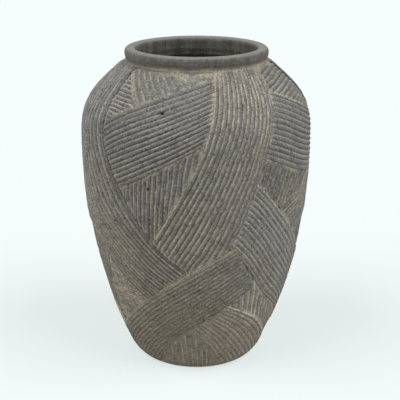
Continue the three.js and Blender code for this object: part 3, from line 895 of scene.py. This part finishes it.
class ClayNodes(Nodes):
    """The node tree of a new material of fired clay"""

    SHINE = 0.25

    def __init__(self, name):
        self.material = bpy.data.materials.new(name)
        super().__init__(self.material)
        self.shader = self.tree.nodes["Principled BSDF"]
        self.shader.inputs["Specular IOR Level"].default_value = self.SHINE
        self.place = self.add("ShaderNodeTexCoord", {}, "Object")

    def noise(self, scale, detail=4.0, roughness=0.6, upright=1.0):
        """Noise, stretched upright where its share of the scale there is below one"""
        place = self.place
        if upright != 1.0:
            inputs = {"Vector": place, "Scale": (1.0, 1.0, upright)}
            place = self.add("ShaderNodeMapping", inputs, "Vector")
        inputs = {"Vector": place, "Scale": scale, "Detail": detail, "Roughness": roughness}
        return self.add("ShaderNodeTexNoise", inputs, "Fac")

    def grains(self, scale):
        """Small cells, as three random numbers from 0 to 1 for each"""
        cells = self.add("ShaderNodeTexVoronoi", {"Vector": self.place, "Scale": scale}, "Color")
        return self.add("ShaderNodeSeparateColor", {"Color": cells}, 0).node.outputs

    def axes(self):
        return self.add("ShaderNodeSeparateXYZ", {"Vector": self.place}, 0).node.outputs

    def mask(self, name):
        return self.add("ShaderNodeAttribute", {}, "Fac", attribute_name=name)

    def bump(self, *layers):
        """Bumps of the given heights in metres, one on top of the other"""
        below = {}
        for value, distance in layers:
            inputs = {"Height": value, "Distance": distance, **below}
            below = {"Normal": self.add("ShaderNodeBump", inputs, "Normal")}
        self.set(self.shader.inputs["Normal"], below["Normal"])

    def finish(self, body):
        self.set(self.shader.inputs["Base Color"], body)
        return self.material


# Scales of the noises, in cells for each metre
CLOUDS, SHADOWS, BLOTCHES, STAINS, RUNS, MOTTLES = 14, 45, 60, 38, 150, 70
STREAKS, LUMPS, GRAINS, DUST = 130, 330, 620, 900
WASH_BREAKS, RIM_BREAKS = 260, 200
# Between these heights the clay turns from brown to grey, and to the right it greys more
BROWN_HEIGHTS, GREYER_RIGHT = (0.06, 0.32), (-0.02, 0.12)
# Heights inside the mouth over which painted light deep inside gives way to painted shade
# near the top
MOUTH_HEIGHTS = (0.374, 0.386)
# How much of the sandy grain the pieces show
COMBED_GRAIN, WALL_GRAIN, RIM_GRAIN = 0.85, 0.9, 0.4


def body_clay(nodes, colours):
    """Mottled clay that drifts from grey at the shoulder to brown at the foot"""
    across, _, height = nodes.axes()
    drift = nodes.range(height, BROWN_HEIGHTS, (1.0, 0.0))
    drift = nodes.math("ADD", drift, nodes.range(across, GREYER_RIGHT, (0.0, -0.5)))
    cloud = nodes.spread(nodes.noise(CLOUDS, detail=3), -0.3, 0.3)
    body = nodes.mix(nodes.clamped(nodes.math("ADD", drift, cloud)), colours.grey, colours.brown)
    return nodes.scaled(body, nodes.spread(nodes.noise(MOTTLES, 6, 0.65), 0.8, 1.2))


def inside_clay(nodes, colours):
    """Clay inside the vase, with runs of wash, painted lighter deep down and darker near the
    mouth:
    painted light and painted shade that even out the light falling in
    """
    streak = nodes.noise(STREAKS, detail=5, upright=0.07)
    body = nodes.scaled(colours.inside, nodes.spread(streak, 0.65, 1.35))
    # Painted light deep in the mouth, painted shade near its top
    body = nodes.scaled(body, nodes.range(nodes.axes()[2], MOUTH_HEIGHTS, (1.1, 0.58)))
    return nodes.scaled(body, nodes.spread(nodes.noise(SHADOWS), 0.75, 1.25))


def sanded(nodes, body, colours, grain):
    """Sandy grain over a colour: pale, dark and middling grains, with their bump and roughness"""
    pale, dark, tone = nodes.grains(GRAINS)
    fine = nodes.noise(DUST, 3, 0.7)
    dusty = (1 - 0.26 * grain, 1 + 0.26 * grain)
    body = nodes.scaled(body, nodes.range(tone, (0.0, 1.0), dusty))
    body = nodes.scaled(body, nodes.spread(fine, *dusty))
    body = nodes.mix(nodes.range(pale, (0.82, 0.9), (0.0, 0.35 * grain)), body, colours.wash)
    body = nodes.scaled(body, nodes.range(dark, (0.9, 0.94), (1.0, 1 - 0.55 * grain)))
    nodes.set(nodes.shader.inputs["Roughness"], nodes.spread(fine, 0.84, 0.98))
    nodes.bump((nodes.noise(LUMPS), 0.4 * MM), (tone, 0.12 * MM), (fine, 0.3 * MM))
    return body


def rubbed(nodes, colours, body, breaks):
    """Sand wash over a colour where the mask holds it, broken up by the grain"""
    broken = nodes.range(nodes.noise(breaks, roughness=0.7), (0.32, 0.62), (0.4, 1.0))
    cover = nodes.clamped(nodes.math("MULTIPLY", nodes.mask("wash"), broken))
    return nodes.mix(cover, body, colours.wash)


def combed_material(name, colours):
    """Combed clay: pale wash in the hollows, painted shade in the grooves and along some edges,
    sandy grain, and pits painted near-black as painted shade
    """
    nodes = ClayNodes(name)
    # The shade mask darkens the clay with painted shade; below zero it makes the crests paler
    shade = nodes.range(nodes.mask("shade"), (-1.0, 1.0), (1.7, 0.3))
    body = nodes.scaled(body_clay(nodes, colours), shade)
    body = nodes.scaled(rubbed(nodes, colours, body, WASH_BREAKS), nodes.mask("tone"))
    body = sanded(nodes, body, colours, COMBED_GRAIN)
    # The pits are painted near-black: painted shade in the holes
    return nodes.finish(nodes.mix(nodes.mask("pit_shade"), body, colours.pit_shade))


def wall_material(name, colours):
    """Plain clay of the wall and base: washed outside, streaked inside with painted light, raw at
    the foot
    """
    nodes = ClayNodes(name)
    body = rubbed(nodes, colours, body_clay(nodes, colours), WASH_BREAKS)
    body = nodes.mix(nodes.mask("inside"), body, inside_clay(nodes, colours))
    body = nodes.mix(nodes.mask("raw"), body, colours.raw)
    return nodes.finish(sanded(nodes, body, colours, WALL_GRAIN))


def rim_material(name, colours):
    """Clay smoothed with a wet hand: dark blotches and runs, with painted shade that keeps the
    outer face darker than the lit top, and wash along its foot
    """
    nodes = ClayNodes(name)
    run = nodes.spread(nodes.noise(RUNS, upright=0.18), -0.2, 0.2)
    blotch = nodes.spread(nodes.math("ADD", nodes.noise(BLOTCHES), run), 0.5, 1.0)
    # Blotches and painted shade on the outer face, below the lighter top
    shade = nodes.math("MULTIPLY", blotch, nodes.mask("front"))
    body = nodes.mix(nodes.clamped(shade), colours.rim, colours.rim_blotch_shade)
    stain = nodes.range(nodes.noise(STAINS, 5, 0.7), (0.5, 0.66), (0.0, 0.3))
    body = nodes.mix(nodes.math("MULTIPLY", stain, nodes.mask("front")), body, colours.brown)
    body = rubbed(nodes, colours, body, RIM_BREAKS)
    body = nodes.mix(nodes.mask("inside"), body, inside_clay(nodes, colours))
    return nodes.finish(sanded(nodes, body, colours, RIM_GRAIN))


def dress(piece, material, slot, *node_names):
    """Gives a piece its material and sets it in the frame in the place of its nodes"""
    piece.data.materials.append(material)
    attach(piece, BODY)
    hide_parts(*node_names)


def settings():
    scene = bpy.context.scene
    return scene.vase_sizes, scene.vase_comb, scene.vase_colours, scene.vase_stage


def build_combed(plans, slot):
    """Lays the combed pieces of some plans on both sides, under those laid later on either side"""
    sizes, comb, colours, _ = settings()
    wall = WallCurve(sizes)
    material = combed_material(slot, colours)
    later, pieces = [], []
    for order, plan in enumerate(STRIPS + PANELS, 1):
        piece = CombedPiece(plan, wall, sizes, comb, order)
        if plan in plans:
            piece.lay(later)
            pieces.append(piece)
        later += [(piece, turn) for turn in HALF_TURNS]
    for side, turn in SIDES.items():
        for piece in pieces:
            node = f"{side}_{piece.plan['name']}"
            dress(piece.build(node, turn), material, slot, node)


def arc(middle, half_sizes, start, end, steps, power=1.0):
    """Points on part of an ellipse, from one angle in degrees to another. Powers below 1 make it
    squarer."""
    turn = np.radians(np.linspace(start, end, steps))
    ways = np.stack((np.cos(turn), np.sin(turn)), -1)
    return np.array(middle) + np.array(half_sizes) * np.sign(ways) * np.abs(ways) ** power


class VASE_OT_wall(bpy.types.Operator):
    """Turns the three sections of the wall"""

    bl_idname = "vase.wall"
    bl_label = "Wall sections"

    SECTION_STEPS = 60
    TURN_STEPS = 240
    EDGE_STEPS, EDGE_ANGLES = 6, (270, 345)
    CORNER_STEP = 0.3 * MM
    RING_PITCH = 9 * MM
    # Over what heights the throwing rings fade at a section's lower and upper ends
    RING_FADES = (20 * MM, 4 * MM)
    RAW_HEIGHTS = (4 * MM, 1 * MM)
    WASH = 0.7

    def execute(self, context):
        sizes, comb, colours, _ = settings()
        material = wall_material("wall_clay", colours)
        sections = {
            "wall_foot": (sizes.foot_edge, sizes.lower_seam),
            "wall_belly": (sizes.lower_seam + comb.slip, sizes.upper_seam),
            "wall_shoulder": (sizes.upper_seam + comb.slip, sizes.neck_top),
        }
        for node, (low, high) in sections.items():
            profile, inside = self.line(sizes, node, low, high)
            raw = smoothstep(*self.RAW_HEIGHTS, profile[:, 1])
            inside = inside * (1 - raw)
            masks = {"inside": inside, "raw": raw, "wash": self.WASH * (1 - inside)}
            piece = turned_object(node + "_clay", turned_points(profile, self.TURN_STEPS), masks)
            dress(piece, material, "wall_clay", node)
        return {"FINISHED"}

    def heights(self, start, end):
        """Even steps from start to end, with a short one at each end to keep the corners crisp"""
        inset = math.copysign(self.CORNER_STEP, end - start)
        even = np.linspace(start + inset, end - inset, self.SECTION_STEPS)
        return np.concatenate(((start,), even, (end,)))

    def line(self, sizes, node, low, high):
        """The section's closed line, and which of its points lie inside the vase"""
        wall = WallCurve(sizes)
        is_foot = node == "wall_foot"
        rising = self.heights(low, high)
        outer = np.stack((wall.radius(rising), rising), -1)
        bottom = sizes.foot_recess if is_foot else low
        falling = self.heights(high, bottom)
        rings = sizes.throwing_rings * np.sin(falling / self.RING_PITCH * 2 * math.pi)
        rings = rings * smoothstep(bottom, bottom + self.RING_FADES[0], falling)
        rings = rings * smoothstep(high, high - self.RING_FADES[1], falling)
        radius = wall.offset(falling, -sizes.wall)
        mouth = sizes.rim_outer - sizes.rim_width
        fillet = mouth + (sizes.neck_top - falling) ** 2 / (2 * sizes.neck_fillet)
        above = falling > sizes.belly_height
        radius = np.where(above, np.minimum(np.maximum(radius, mouth), fillet), radius) + rings
        inner = np.stack((radius, falling), -1)
        parts = [outer, inner]
        if is_foot:
            edge = sizes.foot_edge
            middle = (sizes.foot_radius - edge, edge)
            corner = arc(middle, (edge, edge), *self.EDGE_ANGLES, self.EDGE_STEPS)
            ring = inner[-1, 0] - sizes.ledge
            parts = [corner, outer, inner, np.array(((ring, sizes.foot_recess), (ring, 0.0)))]
        inside = np.concatenate([np.full(len(part), float(part is inner)) for part in parts])
        return np.concatenate(parts), inside


class VASE_OT_base(bpy.types.Operator):
    """Turns the base slab that closes the foot"""

    bl_idname = "vase.base"
    bl_label = "Base slab"

    TURN_STEPS = 160
    SIDE_STEPS = 6
    FACE_STEPS = 48
    # Share of the radius at which the innermost ring of the mesh lies
    MIDDLE = 0.03
    FINGER_HEIGHT, FINGER_PITCH = 0.3 * MM, 8 * MM
    DISH = 0.4 * MM
    RAW, WASH = 0.8, 0.2

    def execute(self, context):
        sizes, comb, colours, _ = settings()
        wall = WallCurve(sizes)
        low, high = BASE_BOX[0].z, BASE_BOX[1].z
        edge = np.linspace(low, high, self.SIDE_STEPS)
        side = np.stack((wall.offset(edge, -sizes.wall - comb.slip), edge), -1)
        across = np.linspace(self.MIDDLE, 1, self.FACE_STEPS, endpoint=False)
        finger = np.sin(across * side[-1, 0] / self.FINGER_PITCH * 2 * math.pi)
        rise = high - self.DISH + self.FINGER_HEIGHT * finger * (1 - across)
        top = np.stack((across * side[-1, 0], rise), -1)[::-1]
        under = np.stack((across * side[0, 0], low + 0 * across), -1)
        profile = np.concatenate((under, side, top))
        upper = (profile[:, 1] > (low + high) / 2).astype(float)
        masks = {"inside": upper, "raw": self.RAW * (1 - upper), "wash": self.WASH * upper}
        points = turned_points(profile, self.TURN_STEPS)
        piece = turned_object("base_slab_clay", points, masks, closed=False)
        dress(piece, wall_material("base_clay", colours), "base_clay", "base_slab")
        return {"FINISHED"}


class VASE_OT_rim(bpy.types.Operator):
    """Rolls the rim and smooths its foot on to the shoulder"""

    bl_idname = "vase.rim"
    bl_label = "Rolled rim"

    TURN_STEPS, ROLL_STEPS = 360, 48
    ROLL_ANGLES, ROLL_POWER = (-10, 190), 0.8
    # The line in millimetres, with heights from the neck. Its foot: the distance off the wall, the
    # height where that is taken and the point's own height. Under the roll: the way in from the
    # outer radius. In the mouth: the way out from the mouth's radius.
    FOOT_LINE = ((0.2, -2.6, -2.6), (0.9, -2.6, -2.4), (1.0, -1.4, -1.2))
    OUTER_LINE = ((2.2, 0.5), (1.3, 2.0), (0.5, 4.0))
    MOUTH_LINE = ((0.0, 3.0), (-0.15, -0.3), (-0.15, -0.8), (2.0, -1.0))
    # Where the masks start and where they are full, below the top or over the neck. Below the top,
    # the front mask holds the painted shade of the outer face.
    FRONT_BELOW, MOUTH_BELOW = (0.7 * MM, 3 * MM), (1.2 * MM, 3.8 * MM)
    WASH_OVER, ROLL_OVER = (4.2 * MM, 0.5 * MM), (0, 6 * MM)
    MOUTH_EDGE = 3.5 * MM
    # Waves: the size of their humps in metres, and the seed
    STRAY, RIPPLE, PATCHES = (0.11, 11), (0.022, 12), (0.03, 14)
    RIPPLES, CRUMBS, CRUMBS_SEED = 0.45, 0.2, 13
    # The wash is fullest this many degrees round from the front, and from the back
    WASH, WASH_TURN = 0.85, 25

    def execute(self, context):
        sizes, _, colours, _ = settings()
        profile = self.line(sizes)
        radius, height = profile.T
        below, over = sizes.height - height, height - sizes.neck_top
        middle = sizes.rim_outer - sizes.rim_width / 2
        mouth_edge = sizes.rim_outer - sizes.rim_width + self.MOUTH_EDGE
        points = turned_points(profile, self.TURN_STEPS)
        out = points * (1, 1, 0)
        out /= np.linalg.norm(out, axis=-1, keepdims=True)
        stray = waves(points, *self.STRAY) + self.RIPPLES * waves(points, *self.RIPPLE)
        stray = stray + self.CRUMBS * crumbs(points.shape[:2], self.CRUMBS_SEED)
        stray = stray * sizes.unevenness * smoothstep(*self.ROLL_OVER, over)
        points = points + out * stray[..., None]
        turn = np.arctan2(points[..., 0], -points[..., 1]) - math.radians(self.WASH_TURN)
        patchy = np.clip(0.7 + 0.5 * waves(points, *self.PATCHES), 0.15, 1)
        patchy = patchy * (0.7 + 0.3 * np.cos(2 * turn))
        wash = smoothstep(*self.WASH_OVER, over) * (radius > middle)
        # The mouth's inner face takes the inside clay, with its painted shade near the top
        mouth = smoothstep(middle, mouth_edge, radius) * smoothstep(*self.MOUTH_BELOW, below)
        # The outer face under the top, which takes the painted shade
        front = smoothstep(*self.FRONT_BELOW, below) * (radius > middle)
        masks = {"wash": self.WASH * wash * patchy, "inside": mouth, "front": front}
        piece = turned_object("rim_ring_clay", points, masks)
        dress(piece, rim_material("rim_clay", colours), "rim_clay", "rim_ring")
        return {"FINISHED"}

    def line(self, sizes):
        """The rim's closed line, from its foot over the roll to the mouth"""
        wall, neck, outer = WallCurve(sizes), sizes.neck_top, sizes.rim_outer
        half = (sizes.rim_width / 2, (sizes.height - neck) / 2)
        middle = (outer - half[0], sizes.height - half[1])
        mouth = outer - sizes.rim_width
        line = [(wall.offset(neck + at * MM, off * MM), up) for off, at, up in self.FOOT_LINE]
        line = [(radius, neck + up * MM) for radius, up in line]
        line += [(outer - way * MM, neck + up * MM) for way, up in self.OUTER_LINE]
        line += [*arc(middle, half, *self.ROLL_ANGLES, self.ROLL_STEPS, self.ROLL_POWER)]
        line += [(mouth + way * MM, neck + up * MM) for way, up in self.MOUTH_LINE]
        return np.array(line)


class VASE_OT_strips(bpy.types.Operator):
    """Lays the combed strips"""

    bl_idname = "vase.strips"
    bl_label = "Combed strips"

    def execute(self, context):
        build_combed(STRIPS, "strip_clay")
        return {"FINISHED"}


class VASE_OT_panels(bpy.types.Operator):
    """Lays the combed panels between the strips"""

    bl_idname = "vase.panels"
    bl_label = "Combed panels"

    def execute(self, context):
        build_combed(PANELS, "panel_clay")
        return {"FINISHED"}


class StageNodes(Nodes):
    """The node tree of the floor or of the world, which looks one way and lights another"""

    def __init__(self, owner, output):
        super().__init__(owner)
        self.tree.nodes.clear()
        self.output = self.tree.nodes.new(output)

    def blend(self, factor, first, second):
        return self.add("ShaderNodeMixShader", {0: factor, 1: first, 2: second}, "Shader")

    def show(self, seen, lit):
        """One shader for rays that show it to the eye, and one for those that only carry light"""
        rays = self.add("ShaderNodeLightPath", {}, 0).node.outputs
        eye = rays["Is Camera Ray"]
        for ray in ("Is Glossy Ray", "Is Transmission Ray"):
            eye = self.math("MAXIMUM", eye, rays[ray])
        self.set(self.output.inputs["Surface"], self.blend(eye, lit, seen))


class VASE_OT_stage(bpy.types.Operator):
    """Sets up the floor, the light and the camera"""

    bl_idname = "vase.stage"
    bl_label = "Stage"

    SENSOR = 36.0

    def execute(self, context):
        stage = settings()[3]
        self.floor(stage)
        self.world(stage)
        self.lamps(stage)
        self.camera(stage)
        context.scene.view_settings.view_transform = "Standard"
        return {"FINISHED"}

    def place(self, name, data):
        thing = bpy.data.objects.new(name, data)
        bpy.context.scene.collection.objects.link(thing)
        return thing

    def floor(self, stage):
        half = stage.floor_size / 2
        corners = [(-half, -half, 0), (half, -half, 0), (half, half, 0), (-half, half, 0)]
        mesh = bpy.data.meshes.new("floor")
        mesh.from_pydata(corners, [], [(0, 1, 2, 3)])
        floor = self.place("floor", mesh)
        material = bpy.data.materials.new("floor_paper")
        nodes = StageNodes(material, "ShaderNodeOutputMaterial")
        paper = nodes.add("ShaderNodeBsdfDiffuse", {"Color": stage.paper}, "BSDF")
        colour_shown = [part / stage.floor_light for part in stage.backdrop]
        shown = nodes.add("ShaderNodeBsdfDiffuse", {"Color": colour_shown}, "BSDF")
        glow = nodes.add("ShaderNodeEmission", {"Color": stage.backdrop}, "Emission")
        nodes.show(seen=nodes.blend(stage.glow, shown, glow), lit=paper)
        mesh.materials.append(material)

    def world(self, stage):
        world = bpy.data.worlds.new("studio")
        nodes = StageNodes(world, "ShaderNodeOutputWorld")
        sky = nodes.add("ShaderNodeBackground", {"Strength": stage.sky}, "Background")
        backdrop = nodes.add("ShaderNodeBackground", {"Color": stage.backdrop}, "Background")
        nodes.show(seen=backdrop, lit=sky)
        bpy.context.scene.world = world

    def lamps(self, stage):
        for name, side in (("lamp_left", -1), ("lamp_right", 1)):
            lamp = bpy.data.lights.new(name, "SUN")
            lamp.energy = stage.lamp
            lamp.angle = stage.lamp_spread
            holder = self.place(name, lamp)
            holder.rotation_euler = (stage.lamp_tilt, 0.0, side * stage.lamp_turn)

    def camera(self, stage):
        data = bpy.data.cameras.new("camera")
        data.sensor_width = self.SENSOR
        data.lens = stage.lens
        data.shift_x = stage.shift
        camera = self.place("camera", data)
        camera.location = (0.0, -stage.camera_back, stage.camera_height)
        camera.rotation_euler = (math.pi / 2 - stage.camera_pitch, 0.0, 0.0)
        bpy.context.scene.camera = camera


class VASE_PT_panel(bpy.types.Panel):
    """Lists the steps that dress the vase"""

    bl_label = "Combed clay vase"
    bl_idname = "VASE_PT_panel"
    bl_space_type = "VIEW_3D"
    bl_region_type = "UI"
    bl_category = "Vase"

    def draw(self, context):
        column = self.layout.column(align=True)
        for operator in OPERATORS:
            column.operator(operator.bl_idname)


OPERATORS = (
    VASE_OT_stage, VASE_OT_wall, VASE_OT_base, VASE_OT_rim, VASE_OT_strips, VASE_OT_panels,
)
GROUPS = {
    "vase_sizes": VesselSizes,
    "vase_comb": CombSizes,
    "vase_colours": ClayColours,
    "vase_stage": StageSettings,
}


def register():
    for group in GROUPS.values():
        bpy.utils.register_class(group)
    for name, group in GROUPS.items():
        setattr(bpy.types.Scene, name, bpy.props.PointerProperty(type=group))
    for item in (*OPERATORS, VASE_PT_panel):
        bpy.utils.register_class(item)


def unregister():
    for item in (VASE_PT_panel, *reversed(OPERATORS)):
        bpy.utils.unregister_class(item)
    for name in GROUPS:
        delattr(bpy.types.Scene, name)
    for group in reversed(GROUPS.values()):
        bpy.utils.unregister_class(group)


def main():
    register()
    bpy.ops.vase.stage()
    bpy.ops.vase.wall()
    bpy.ops.vase.base()
    bpy.ops.vase.rim()
    bpy.ops.vase.strips()
    bpy.ops.vase.panels()


if __name__ == "__main__":
    main()
